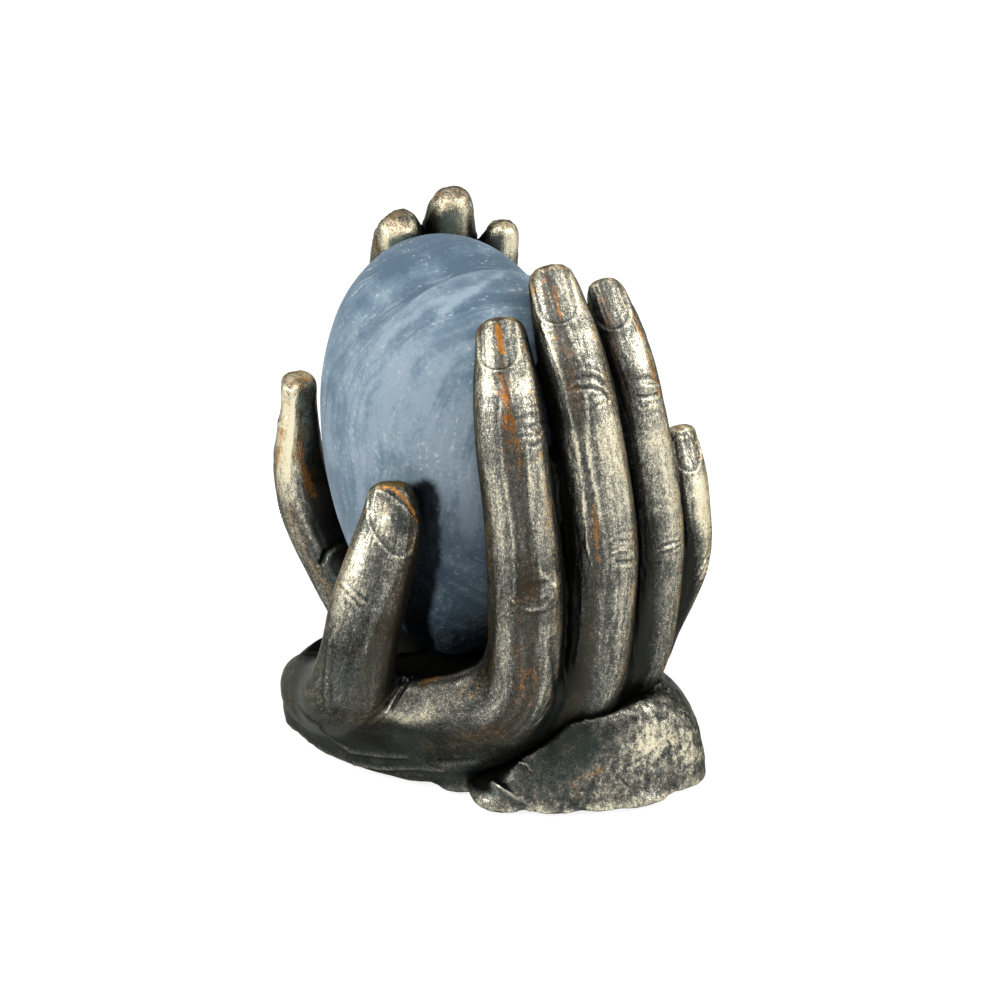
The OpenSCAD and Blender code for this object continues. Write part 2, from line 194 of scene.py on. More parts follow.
# Strokes of an amber glaze: points in mm, width and amount
right.ambered = [
    ([(33.9, -36.6, 94.6), (34.3, -34.9, 95.2), (36.3, -33.6, 94.5), (38.1, -31.9, 92.5),
      (38.8, -30.2, 89.4), (39.7, -29.5, 87.2)], 0.6, 0.8),
    ([(34.5, -37, 92), (36.5, -36.3, 90.5), (38, -36.3, 87)], 1.7, 0.4),
    ([(38.3, -7.1, 134.8), (40.2, -7.4, 132.9), (42, -7.7, 131), (43.5, -7.8, 129.6)], 0.8, 1),
    ([(47.1, -10.2, 125.3), (50.6, -10.4, 121.4), (53.8, -10, 116), (55.7, -9.5, 111.4),
      (56.8, -9.2, 106.6), (57.5, -9.8, 101.6)], 0.7, 0.55),
    ([(36.3, -8.9, 135.2), (34.9, -10.1, 133.4), (37, -12.1, 129.9), (38.3, -13, 126.6),
      (41.1, -14.5, 122.6)], 0.9, 0.6),
    ([(58.6, -11.2, 57.4), (58.8, -9.9, 52.9), (58.8, -8.5, 48.3), (57.5, -9.3, 43.6)], 1.6, 0.35),
    ([(35.7, 7, 143.6), (34.5, 3.8, 140), (36, 3, 136), (39, 3, 131)], 0.9, 0.5),
    ([(37.5, 8.9, 142.6), (40.1, 8.5, 139.6), (42.7, 7.8, 136.7)], 0.6, 0.5),
    ([(39.5, 30, 131.9), (43.2, 31.3, 126), (45.6, 32.2, 121), (47, 33.9, 113)], 1.0, 0.55),
    ([(34, -25.7, 38.4), (36, -20, 42), (38, -17.5, 44), (40, -15.2, 46)], 2.4, 0.6),
    ([(59.2, -11.8, 71.4), (59.9, -10.5, 69.8), (60.7, -8.1, 68.6), (61.3, -5.7, 68.4),
      (61.1, -3.4, 70)], 0.7, 0.2),
    ([(57.8, 10.8, 91.6), (58.2, 11, 84.7), (58.6, 11.6, 75.9)], 0.8, 0.5),
    ([(43, 50, 78), (43, 50.5, 74), (44, 49.5, 68)], 1.2, 0.4)]
# Clay laid on before the smoothing: middle and radii in mm
right.lumps = [
    ((-7, -42, 19), (13, 10, 11)), ((-27, -35, 3), (7.5, 8.5, 6)), ((16, -20, 3), (9, 9, 7)),
    ((26.5, -12.5, 3), (8, 8, 7)), ((35.5, -21, 36), (5, 6, 6.5)), ((40, -15, 38.5), (5, 6, 7)),
    ((45.3, -10, 44), (4.5, 5, 9))]
# Spots worked smooth: middle and size in mm, and how rough the tool left them
right.softened = [((-2, -43, 26), 17, 0), ((22, -19, 5), 15, 0.1), ((39, -17, 41), 12, 0)]
# Digits bent a little: digit, t where the bend begins and ends, and mm
right.bends = [(2, 2.6, 4, (-0.5, -1.1, 0)), (3, 2.4, 4, (-0.3, 0, 2.3)), (4, 1.2, 1.9, (0.5, 1.1, 0))]


def units(v):
    return v / np.maximum(np.linalg.norm(v, axis=-1, keepdims=True), 1e-9)


def smoothstep(low, high, value):
    f = np.clip((value - low) / (high - low), 0, 1)
    return f * f * (3 - 2 * f)


def hump(value, width):
    return np.exp(-(value / width) ** 2)


def field(points, scale, seed):
    """Smooth noise of about -1 to 1 at points, with lumps of about scale."""
    return np.array([noise.noise(p) for p in (points / scale + seed * 17.3).tolist()])


class Digit:
    """A digit's middle line, with the way across it and the way to its back at each step."""

    def __init__(self, shares, back, width, width_shares, depth_shares):
        path = np.array(shares) * GRIP + [0.0, HEART_BACK, 0.0] - NODE_SHIFT
        self.t = np.linspace(0, 4, 121)
        i = np.minimum(self.t.astype(int), 3)
        f = (self.t - i)[:, None]
        a, b = path[np.maximum(i - 1, 0)], path[i]
        c, d = path[i + 1], path[np.minimum(i + 2, 4)]
        self.point = (2 * b + (c - a) * f + (2 * a - 5 * b + 4 * c - d) * f ** 2
                      + (3 * b - a - 3 * c + d) * f ** 3) / 2
        self.way = units(np.gradient(self.point, axis=0))
        self.across = units(np.cross(self.way, np.array(back, float)))
        self.up = np.cross(self.across, self.way)
        steps = np.linalg.norm(np.diff(self.point, axis=0), axis=1)
        self.length = np.concatenate([[0], np.cumsum(steps)])
        self.wide = np.interp(self.t, *np.array(width_shares).T) * width / 2
        self.deep = np.interp(self.t, *np.array(depth_shares).T) * width / 2

    def squared(self, co, mine, amount):
        """co with the end of this digit pushed out from its round form to a squarer one."""
        near = ((self.point ** 2).sum(1) - 2 * co @ self.point.T).argmin(1)
        off = co - self.point[near]
        along = (off * self.way[near]).sum(1)
        off = off - self.way[near] * along[:, None]
        s = np.clip((self.length[-1] - self.length[near] - along) / self.wide[60], 0.04, 1)
        push = (1 - (1 - s) ** 4) ** 0.25 / np.sqrt(1 - (1 - s) ** 2)
        return co + off * ((push - 1) * amount * mine)[:, None]

    def place(self, co):
        """For points in mm: t, mm from the tip, mm across, mm towards the back, and radius as a share."""
        near = ((self.point ** 2).sum(1) - 2 * co @ self.point.T).argmin(1)
        off = co - self.point[near]
        along = (off * self.way[near]).sum(1)
        length = self.length[near] + along
        t = np.interp(length, self.length, self.t)
        off = off - self.way[near] * along[:, None]
        across = (off * self.across[near]).sum(1)
        up = (off * self.up[near]).sum(1)
        past = np.maximum(length - self.length[-1], 0)
        radii = np.interp(t, self.t, self.wide) * np.interp(t, self.t, self.deep)
        share = np.sqrt((across ** 2 + up ** 2) / radii)
        return t, self.length[-1] - length, across, up, share + past


def smoothed(co, edges, rounds, where=1.0, push_back=0.0):
    """co drawn half-way to its neighbours' middle in each round, as far as where says."""
    count = np.bincount(edges.ravel(), minlength=len(co))[:, None]
    a, b = edges.T
    for turn in range(rounds):
        total = np.stack([np.bincount(a, co[b, k], len(co)) + np.bincount(b, co[a, k], len(co))
                          for k in range(co.shape[1])], 1)
        step = -push_back if push_back and turn % 2 else 1.0
        co = co + (total / count - co) * np.reshape(0.5 * where * step, (-1, 1))
    return co


def mesh_arrays(obj):
    mesh = obj.data
    co = np.zeros(len(mesh.vertices) * 3)
    mesh.vertices.foreach_get("co", co)
    edges = np.zeros(len(mesh.edges) * 2, int)
    mesh.edges.foreach_get("vertices", edges)
    normal = np.zeros(len(mesh.vertices) * 3)
    mesh.vertices.foreach_get("normal", normal)
    return co.reshape(-1, 3) / MM, edges.reshape(-1, 2), normal.reshape(-1, 3)


def set_places(obj, co):
    obj.data.vertices.foreach_set("co", (co * MM).ravel())
    obj.data.update()


def clay_copy(node, name, lumps):
    """A merged copy of a CAD node with lumps of clay laid on, remeshed to even small faces."""
    bpy.ops.object.select_all(action="DESELECT")
    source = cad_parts[node]
    obj = source.copy()
    obj.data = source.data.copy()
    obj.name = obj.data.name = name
    # the copy drops what the frame wrote on its node
    for key in list(obj.keys()):
        del obj[key]
    obj.parent = None
    bpy.context.scene.collection.objects.link(obj)
    obj.select_set(True)
    bpy.context.view_layer.objects.active = obj
    bpy.ops.object.mode_set(mode="EDIT")
    bpy.ops.mesh.select_all(action="SELECT")
    bpy.ops.mesh.remove_doubles(threshold=MERGE_DISTANCE)
    bpy.ops.object.mode_set(mode="OBJECT")
    lowest = mesh_arrays(obj)[0][:, 2].min()
    balls = []
    for middle, radii in lumps:
        bpy.ops.object.select_all(action="DESELECT")
        bpy.ops.mesh.primitive_uv_sphere_add(segments=48, ring_count=24, radius=1,
                                             location=[c * MM for c in middle],
                                             scale=[r * MM for r in radii])
        balls.append(bpy.context.object)
    bpy.ops.object.select_all(action="DESELECT")
    for ball in balls + [obj]:
        ball.select_set(True)
    bpy.context.view_layer.objects.active = obj
    bpy.ops.object.join()
    remesh = obj.modifiers.new("remesh", "REMESH")
    remesh.mode = "VOXEL"
    remesh.voxel_size = CLAY_GRAIN
    remesh.use_smooth_shade = True
    bpy.ops.object.modifier_apply(modifier="remesh")
    obj.data.materials.clear()
    co = mesh_arrays(obj)[0]
    co[:, 2] = np.maximum(co[:, 2], lowest)
    set_places(obj, co)
    return obj


def split_faces(obj, chosen):
    """Cuts the faces between the chosen points in four."""
    bpy.ops.object.select_all(action="DESELECT")
    obj.select_set(True)
    bpy.context.view_layer.objects.active = obj
    obj.data.polygons.foreach_set("select", np.zeros(len(obj.data.polygons), bool))
    obj.data.edges.foreach_set("select", np.zeros(len(obj.data.edges), bool))
    obj.data.vertices.foreach_set("select", chosen)
    bpy.ops.object.mode_set(mode="EDIT")
    bpy.ops.mesh.select_mode(type="VERT")
    bpy.ops.mesh.subdivide(number_cuts=1)
    bpy.ops.object.mode_set(mode="OBJECT")


def carve_nail(place, nail):
    """A plate with a thin fold of skin round its sides and root, and a free end."""
    _, tip, across, up, _ = place
    width, length, start, shift, slant = nail
    plate_sunk, groove_depth, end_depth = 0.25, 0.24, 0.35
    fold_rise, crest_rise, ridge_rise = 0.17, 0.3, 0.05
    tip = tip - slant * (across - shift)
    across = across - shift
    half = width / 2
    y = tip - start - length / 2
    corner = np.where(y > 0, half * 0.95, half * 0.45)
    px = np.abs(across) - (half - corner)
    py = np.abs(y) - (length / 2 - corner)
    edge = np.hypot(np.maximum(px, 0), np.maximum(py, 0)) + np.minimum(np.maximum(px, py), 0) - corner
    on_back = smoothstep(-0.1, 0.35, up / np.maximum(np.hypot(across, up), 0.1)) * smoothstep(26, 22, tip)
    free_end = smoothstep(start + 1.2, start - 0.4, tip)
    plate = smoothstep(0.3, -0.5, edge)
    fold = hump(edge - 0.65, 0.5) * (1 - free_end)
    groove = hump(edge - 0.05, 0.26) * (1 - 0.8 * free_end)
    under = hump(edge - 0.8, 0.5) * free_end
    crest = crest_rise * plate * smoothstep(0.5, -1.5, tip - start - 1)
    ridges = ridge_rise * np.sin(across * 4.2) * plate
    return on_back * (-plate_sunk * plate + fold_rise * fold - groove_depth * groove - end_depth * under
                      + crest + ridges)


def carve_joint(place, joint, size, seed):
    """Short wrinkles across the back of a joint, bowed away from its middle."""
    t, _, across, up, share = place
    at, turn, amount = joint
    arc = (np.arctan2(across, up) - math.radians(turn)) * np.hypot(across, up)
    y = (t - at) * size * 1.9
    wave = field(np.stack([arc, y * 0.6, np.full(len(arc), float(seed))], 1), 3.2, seed)
    on_back = smoothstep(1.5, 1.15, share) * (up > -3)
    cut = 0.3 * hump(y, size * 0.3) * hump(arc, size * 0.4)
    wrinkle_shares = (-0.21, -0.1, 0.02, 0.13, 0.24)
    for k, middle in enumerate(wrinkle_shares):
        bow = middle * (1 - 0.9 * (arc / (size * 0.5)) ** 2) * size
        side = 0.06 * size * math.sin(k * 2.4 + seed)
        length = size * (0.42 - 0.5 * abs(middle))
        cut -= 0.5 * hump(y - bow - 0.5 * wave, 0.36) * smoothstep(length, length * 0.5, np.abs(arc - side))
    return on_back * cut * amount


def mark_distance(place, points):
    """mm over a digit's skin to a line of points, given as mm from the tip and degrees from the nail."""
    _, tip, across, up, _ = place
    radius = np.hypot(across, up)
    x, y = np.arctan2(across, up) * radius, tip
    best = np.full(len(tip), 1e9)
    for (y0, turn0), (y1, turn1) in zip(points[:-1], points[1:]):
        x0, x1 = math.radians(turn0) * radius, math.radians(turn1) * radius
        dx, dy = x1 - x0, y1 - y0
        f = np.clip(((x - x0) * dx + (y - y0) * dy) / (dx ** 2 + dy ** 2 + 1e-9), 0, 1)
        best = np.minimum(best, np.hypot(x - x0 - f * dx, y - y0 - f * dy))
    return best


def line_distance(co, points, normal=None):
    """mm from co to a line of points. With the normals given, what lies along them hardly counts."""
    best = np.full(len(co), 1e9)
    for a, b in zip(np.array(points[:-1], float), np.array(points[1:], float)):
        f = np.clip(((co - a) @ (b - a)) / ((b - a) @ (b - a)), 0, 1)
        off = co - a - f[:, None] * (b - a)
        if normal is not None:
            off = off - 0.8 * normal * (off * normal).sum(1)[:, None]
        best = np.minimum(best, np.linalg.norm(off, axis=1))
    return best


def hand_digits(hand):
    kinds = [(THUMB_WIDTHS, THUMB_DEPTHS)] + [(FINGER_WIDTHS, FINGER_DEPTHS)] * 4
    return [Digit(shares, back, width, *kind)
            for shares, back, width, kind in zip(hand.shares, hand.backs, DIGIT_WIDTHS, kinds)]


def skin_places(co, digits):
    """The digit that each point belongs to, its place there, and its shares from the nearest digits."""
    places = [digit.place(co) for digit in digits]
    shares = np.stack([place[4] for place in places])
    skin = SimpleNamespace(places=places, which=shares.argmin(0), nearest=np.sort(shares, axis=0))
    skin.t, skin.tip, skin.across, skin.up = (np.choose(skin.which, [place[k] for place in places])
                                              for k in range(4))
    skin.on_digit = smoothstep(1.5, 1.15, skin.nearest[0]) * smoothstep(0.5, 1.1, skin.t)
    return skin


def work_clay(obj, digits, hand):
    """Squares the tips, smooths joins and softened spots, and fills the valleys of palm and wrist."""
    co, edges, _ = mesh_arrays(obj)
    skin = skin_places(co, digits)
    t = skin.t
    web = smoothstep(2.2, 1.2, t) * smoothstep(0.55, 0.9, t) * smoothstep(2.6, 1.7, skin.nearest[1])
    body = np.maximum(smoothstep(1.25, 0.9, t), smoothstep(1.3, 1.6, skin.nearest[0]))
    for k, (digit, amount) in enumerate(zip(digits, hand.square)):
        co = digit.squared(co, (skin.which == k) & (t > 3), amount)
    co = smoothed(co, edges, 60, push_back=PUSH_BACK)
    co = smoothed(co, edges, 50, web)
    for middle, size, _ in hand.softened:
        near = smoothstep(size, size * 0.6, np.linalg.norm(co - middle, axis=1))
        co = smoothed(co, edges, 160, near * smoothstep(3, 8, co[:, 2]))
    # the valleys are filled, and the ridges mostly stay
    ridges_lowered = 0.12
    for _ in range(3):
        set_places(obj, co)
        normal = mesh_arrays(obj)[2]
        flat = smoothed(co, edges, 60, body)
        rise = ((flat - co) * normal).sum(1)
        co = co + normal * (np.maximum(rise, 0) + ridges_lowered * np.minimum(rise, 0))[:, None]
        co = smoothed(co, edges, 10, body, PUSH_BACK)
    co = smoothed(co, edges, 6)
    set_places(obj, co)
    return co, skin.places


def split_worked(obj, co, places, hand):
    """Finer faces where the nails, the wrinkled joints and the folds of skin are carved."""
    fine = np.zeros(len(co), bool)
    for (t, tip, across, up, share), nail, wrinkles in zip(places, hand.nails, hand.joints):
        width, length, start, _, _ = nail
        fine |= (np.abs(across) < width / 2 + 2) & (tip < length + start + 2.5) & (up > 1) & (share < 1.6)
        for at, _, _ in wrinkles:
            fine |= (np.abs(t - at) < 0.2) & (up > 1) & (share < 1.3)
    for points, _, _ in hand.folds:
        fine |= line_distance(co, points) < 2
    split_faces(obj, fine)


def carve_skin(obj, digits, hand):
    """Carves nails, wrinkles, marks, creases, furrows, the tooled clay and the rough rim."""
    co, _, normal = mesh_arrays(obj)
    skin = skin_places(co, digits)
    t, nearest, seed = skin.t, skin.nearest, hand.seed
    cut = np.zeros(len(co))
    waver = 0.35 * field(co, 4.0, seed + 8)
    for k, nail in enumerate(hand.nails):
        mine = np.flatnonzero((skin.which == k) & (nearest[0] < 1.6) & (t > 0.9))
        place = [values[mine] for values in skin.places[k]]
        cut[mine] += carve_nail(place, nail)
        for n, joint in enumerate(hand.joints[k]):
            cut[mine] += carve_joint(place, joint, DIGIT_WIDTHS[k] * (1 - 0.12 * n), seed + k + 7 * n)
        for digit, points, width, depth in hand.marks:
            if digit == k:
                cut[mine] -= 0.75 * depth * hump(mark_distance(place, points) + waver[mine], width)
    # the crease where two fingers touch
    touching = hump(nearest[1] - nearest[0], 0.09) * smoothstep(1.1, 1.6, t)
    touching = touching * smoothstep(1.6, 1.3, nearest[0])
    cut -= 1.5 * touching
    strand = np.stack([skin.across, skin.up, (skin.tip + skin.which * DIGIT_APART) / 7], 1)
    skin.furrows = field(strand, 2.4, seed)
    skin.fine_furrows = field(strand * [1, 1, 1.3], 1.1, seed + 1)
    scratches = hump(skin.furrows, 0.07)
    cut += skin.on_digit * (0.13 * skin.furrows + 0.05 * skin.fine_furrows - 0.12 * scratches)
    cut += 0.25 * field(co, 9.0, seed + 2) * (1 - skin.on_digit) + 0.05 * field(co, 1.9, seed + 3)
    for points, width, depth in hand.folds:
        cut -= depth * hump(line_distance(co, points, normal), width)
    skin.tooled = sum(rough * hump(np.linalg.norm(co - middle, axis=1), size)
                      for middle, size, rough in hand.softened)
    cut += skin.tooled * (field(co, 6.0, seed + 11) + 0.6 * field(co * [1, 1.6, 0.8], 2.6, seed + 12)
                          - hump(field(co, 5.0, seed + 13), 0.06))
    rim = smoothstep(4.5, 1.0, co[:, 2]) * smoothstep(0.9, 0.5, np.abs(normal[:, 2]))
    cut += rim * (0.5 * field(co, 2.8, seed + 5) + 0.4 * hump(co[:, 2] - 2.6, 0.7))
    level = co[:, 2].min()
    co = co + normal * cut[:, None]
    for digit, start, end, shift in hand.bends:
        co = co + (smoothstep(start, end, t) * (skin.which == digit))[:, None] * shift
    co[:, 2] = np.maximum(co[:, 2], level)
    set_places(obj, co)
    return skin


def note(obj, name, values):
    """Keeps a value or a place for each point of a mesh, for its material to read."""
    if values.ndim == 1:
        obj.data.attributes.new(name, "FLOAT", "POINT").data.foreach_set("value", values)
    else:
        obj.data.attributes.new(name, "FLOAT_VECTOR", "POINT").data.foreach_set("vector", values.ravel())


def note_wear(obj, skin, hand):
    """Notes what the patina follows, worn edges, hollows and glazed spots, and where light and shade are
    painted: shade in the cup, under things, between digits and in stripes, and spots of dry brush, painted
    highlight and painted shade.
    """
    co, edges, normal = mesh_arrays(obj)
    note(obj, "edge_worn", ((co - smoothed(co, edges, 8)) * normal).sum(1))
    note(obj, "high_worn", ((co - smoothed(co, edges, 50)) * normal).sum(1))
    # painted shade between digits, where a second digit lies near
    note(obj, "gap", smoothstep(1.95, 1.2, skin.nearest[1]) * smoothstep(0.8, 1.3, skin.t))
    # painted shade: faces turned into the cupped palms low down, and the palms under the heart, go dark
    inside = smoothstep(0.1, 0.6, (normal * units(CUP_MIDDLE - co)).sum(1)) * smoothstep(80, 55, co[:, 2])
    under_heart = np.linalg.norm((co - HEART_MIDDLE) / HEART_HALF, axis=1)
    inside = np.maximum(inside, smoothstep(1.2, 1.06, under_heart) * smoothstep(66, 48, co[:, 2]))
    # painted shade under things: faces that look down, off the digits
    below = smoothstep(0.1, -0.7, normal[:, 2]) * (1 - skin.on_digit)
    note(obj, "shaded", np.maximum(inside, below * 0.35))
    # angle round the digit from the middle of its nail
    turn = np.arctan2(skin.across, skin.up)
    ragged = np.degrees(turn) + 7 * skin.fine_furrows + 5 * skin.furrows
    # painted shade along a stripe of each digit, where rust also lies
    stripe = np.zeros(len(co))
    for k, sides in enumerate(hand.stripes):
        at, low, high = np.array(sides, float).T
        inner = np.minimum(ragged - np.interp(skin.t, at, low), np.interp(skin.t, at, high) - ragged)
        stripe += smoothstep(-3, 4, inner) * (skin.which == k)
    note(obj, "turn", turn)
    note(obj, "t", skin.t)
    note(obj, "on_digit", skin.on_digit)
    note(obj, "tooled", skin.tooled)
    note(obj, "stripe", stripe)
    note(obj, "rusty", stripe * np.array(hand.rusty, float)[skin.which])
    note(obj, "warm", smoothstep(3.8, 3.95, skin.t) * np.array(hand.warm, float)[skin.which])
    # spots of dry brushing, painted highlight and painted shade
    note(obj, "brushed", sum(amount * hump(np.linalg.norm(co - spot, axis=1), size)
                             for spot, size, amount in hand.brushed))
    note(obj, "ambered", sum(amount * hump(line_distance(co, points), width)
                             for points, width, amount in hand.ambered))
    note(obj, "strand", np.stack([skin.across, skin.up, skin.tip + skin.which * DIGIT_APART], 1))


def sculpted(node, hand):
    """A hand from the raw form of its node: worked, carved and coated."""
    obj = clay_copy(node, node + "_cast", hand.lumps)
    digits = hand_digits(hand)
    co, places = work_clay(obj, digits, hand)
    split_worked(obj, co, places, hand)
    skin = carve_skin(obj, digits, hand)
    note_wear(obj, skin, hand)
    obj.data.materials.append(bronze)
    return obj


class Paint:
    """A socket of the material that is being mixed. Sums with it add Math nodes."""
    tree = None

    def __init__(self, socket):
        self.socket = socket

    @classmethod
    def node(cls, kind, settings=(), sockets=(), out=0):
        made = cls.tree.nodes.new("ShaderNode" + kind)
        for name, value in dict(settings).items():
            setattr(made, name, value)
        for name, value in dict(sockets).items():
            if isinstance(value, Paint):
                cls.tree.links.new(value.socket, made.inputs[name])
            else:
                made.inputs[name].default_value = value
        return cls(made.outputs[out])

    def maths(self, operation, *others):
        return Paint.node("Math", {"operation": operation}, dict(enumerate((self, *others))))

    def __add__(self, other):
        return self.maths("ADD", other)

    __radd__ = __add__

    def __sub__(self, other):
        return self.maths("SUBTRACT", other)

    def __rsub__(self, other):
        return Paint.node("Math", {"operation": "SUBTRACT"}, {0: other, 1: self})

    def __mul__(self, other):
        return self.maths("MULTIPLY", other)

    __rmul__ = __mul__

    def step(self, low, high):
        """0 at low to 1 at high, smoothly."""
        return Paint.node("MapRange", {"interpolation_type": "SMOOTHSTEP"},
                          {"Value": self, "From Min": low, "From Max": high})

    def over(self, below, colour):
        """colour laid on below, as thick as this mask."""
        return Paint.node("Mix", {"data_type": "RGBA"}, {0: self, 6: below, 7: colour}, 2)


def new_material(name):
    material = bpy.data.materials.new(name)
    material.use_nodes = True
    Paint.tree = material.node_tree
    return material, material.node_tree.nodes["Principled BSDF"]


def feed(shader, socket, paint):
    Paint.tree.links.new(paint.socket, shader.inputs[socket])


def attribute(name, out=2):
    return Paint.node("Attribute", {"attribute_name": name}, (), out)


def grain(vector, scale, detail=2.0, roughness=0.5):
    return Paint.node("TexNoise", (), {"Vector": vector, "Scale": scale, "Detail": detail,
                                       "Roughness": roughness})


def scaled(vector, by):
    return Paint.node("VectorMath", {"operation": "MULTIPLY"}, {0: vector, 1: by})


SOOT = (0.016, 0.017, 0.014, 1)
SHADE = (0.010, 0.010, 0.009, 1)
GREEN_GREY = (0.027, 0.034, 0.030, 1)
BROWN = (0.060, 0.045, 0.028, 1)
DULL_BRONZE = (0.090, 0.091, 0.080, 1)
PALE_BRONZE = (0.26, 0.25, 0.21, 1)
PALE_GOLD = (0.72, 0.66, 0.47, 1)
ORANGE_GOLD = (0.62, 0.34, 0.08, 1)
RUST = (0.25, 0.085, 0.012, 1)
AMBER = (0.36, 0.20, 0.055, 1)
BURNT_AMBER = (0.34, 0.14, 0.025, 1)
EDGE_TINT = (0.30, 0.31, 0.29, 1)


def bronze_material(name):
    """Dark patina in the hollows, with dull bronze, pale bronze and gold laid with a dry brush over what
    stands out, and painted highlights and painted shade.
    """
    material, shader = new_material(name)
    place = Paint.node("TexCoord", (), (), 3)
    height = Paint.node("SeparateXYZ", (), {0: place}, 2)
    strand = attribute("strand", 1)
    on_digit = attribute("on_digit")
    turn = attribute("turn")
    t = attribute("t")
    # painted shade between the digits
    gap = attribute("gap")
    # painted shade along each digit's stripe
    stripe_shade = attribute("stripe") * on_digit
    broad = grain(place, 60, 3)
    patch = grain(place, 230, 3, 0.6)
    speck = grain(place, 2300, 3, 0.75)
    grit = grain(place, 1050, 2, 0.6)
    streak = grain(scaled(strand, (0.5, 0.5, 0.06)), 1.0, 4, 0.6)
    hair = grain(scaled(strand, (2.4, 2.4, 0.55)), 1.0, 3, 0.65)
    chips = grain(scaled(place, (1, 1, 0.6)), 560, 4, 0.7)
    tooled = attribute("tooled").step(0.0, 0.25)
    thread = grain(scaled(strand, (1.5, 1.5, 0.42)), 1.0, 3, 0.6)
    loose_thread = grain(place, 420, 3, 0.6)
    threads = ((thread - 0.5).maths("ABSOLUTE").step(0.022, 0.0) * on_digit
               + (loose_thread - 0.5).maths("ABSOLUTE").step(0.02, 0.0) * (1 - on_digit))
    around = turn + (streak - 0.5) * 0.6
    # painted highlights along both flanks of each digit
    side_highlight = (around - 0.78).maths("ABSOLUTE").step(0.5, 0.1)
    flank_highlights = side_highlight + (around + 0.5).maths("ABSOLUTE").step(0.4, 0.1)
    # painted shade on the sides of each digit, beyond about 57 degrees from the nail
    edges = turn.maths("ABSOLUTE").step(1.0, 1.45)
    high_worn = attribute("high_worn").maths("MINIMUM", 0.45)
    worn = (high_worn - 0.16) * 0.6 + (attribute("edge_worn") - 0.03) * 2.4
    # darker towards the bottom, and painted shade where shade is noted
    height_and_shade = height.step(0.02, 0.12) * 0.45 - 0.25 - attribute("shaded") * 0.9
    # the shine sums wear, height, painted highlights and painted shade, and noise
    shine = (worn + height_and_shade + attribute("brushed")
             + (flank_highlights * 0.22 - stripe_shade * 0.34 - edges * 0.25) * on_digit
             + (streak - 0.5) * 0.5 * on_digit + (hair - 0.5) * 1.2 * on_digit + (patch - 0.5) * 0.5
             + (broad - 0.5) * 0.5 + (speck - 0.5) * 2.7 + (grit - 0.5) * 0.9
             + (threads - 0.15) * patch.step(0.42, 0.58) * 0.55 + (chips - 0.5) * 3.0 * tooled
             - gap * 1.2)
    green = (broad.step(0.42, 0.6) * (1 - gap)).over(SOOT, GREEN_GREY)
    # brown in the stripes of painted shade and in random patches
    dark = ((stripe_shade * 0.5 + patch.step(0.55, 0.66) * 0.3) * (1 - gap)).over(green, BROWN)
    dull = shine.step(-0.8, 0.15).over(dark, DULL_BRONZE)
    pale = shine.step(0.0, 0.6).over(dull, PALE_BRONZE)
    gold = shine.step(0.4, 1.15).over(pale, PALE_GOLD)
    rust_line = (hair + (patch - 0.5) * 0.8).step(0.5, 0.6) * t.step(2.75, 3.15)
    rust_spots = (hair + grit).step(1.04, 1.16) * patch.step(0.5, 0.62)
    rust = (rust_line * 0.9 + rust_spots * 0.6) * attribute("rusty") * on_digit * (1 - gap)
    rims = (around.maths("ABSOLUTE") - 1.15).maths("ABSOLUTE").step(0.35, 0.1) * on_digit
    amber = ((rims + (1 - on_digit) * 0.15) * (grit + (patch - 0.5) * 0.8).step(0.46, 0.6)
             * shine.step(-0.3, 0.1) * 0.45)
    rimmed = amber.over(gold, AMBER)
    glazed = attribute("ambered")
    glaze = ((glazed + (hair - 0.5) * 0.9 + (speck - 0.5) * 1.6 + (patch - 0.5) * 0.8).step(0.25, 0.75)
             * glazed.step(0.08, 0.35) * 0.85)
    rimmed = glaze.over(rimmed, BURNT_AMBER)
    warm = (attribute("warm") * (patch + speck).step(0.85, 1.1)).over(rimmed, ORANGE_GOLD)
    colour = rust.maths("MINIMUM", 1.0).over(warm, RUST)
    # painted shade where shade is noted: near-black, wholly metallic and rougher
    in_shade = attribute("shaded").step(0.45, 0.95)
    feed(shader, "Base Color", in_shade.over(colour, SHADE))
    feed(shader, "Metallic", (shine.step(-0.3, 0.4) * 0.2 + 0.8).maths("MAXIMUM", in_shade))
    feed(shader, "Roughness", 0.31 - shine.step(0.0, 0.8) * 0.08 + attribute("shaded") * 0.3)
    shader.inputs["Specular IOR Level"].default_value = 0.25
    shader.inputs["Specular Tint"].default_value = EDGE_TINT
    relief = speck * 0.6 + grit * 0.5 + hair * on_digit + chips * tooled * 3.0
    bump = Paint.node("Bump", (), {"Strength": 1.0, "Distance": 0.0001, "Height": relief})
    feed(shader, "Normal", bump)
    return material


bronze = bronze_material("bronze_patina")
right_hand = sculpted("right_hand", right)
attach(right_hand, "root")
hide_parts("right_hand")

# The left hand, the far one: its stump lies at the lower right, below the right hand's palm.
# The same resin, carving and finish.
left = SimpleNamespace(seed=31, marks=[], bends=[])
left.shares = [
    [[-0.16, -0.32, 0.13], [-0.50, -0.54, 0.235], [-0.70, -0.81, 0.40],
     [-0.76, -0.90, 0.525], [-0.64, -0.94, 0.72]],
    [[-0.45, -0.04, 0.185], [-0.85, 0.04, 0.236], [-1.03, 0.10, 0.57],
     [-0.90, 0.04, 0.86], [-0.61, -0.14, 1.007]],
    [[-0.45, 0.32, 0.185], [-0.84, 0.42, 0.226], [-0.98, 0.44, 0.573],
     [-0.87, 0.40, 0.849], [-0.57, 0.28, 1.056]],
    [[-0.42, 0.65, 0.185], [-0.76, 0.75, 0.228], [-0.86, 0.73, 0.554],
     [-0.79, 0.72, 0.797], [-0.54, 0.68, 0.985]],
    [[-0.38, 0.92, 0.185], [-0.65, 1.00, 0.25], [-0.70, 0.98, 0.468],
     [-0.65, 1.02, 0.622], [-0.51, 1.13, 0.756]]]
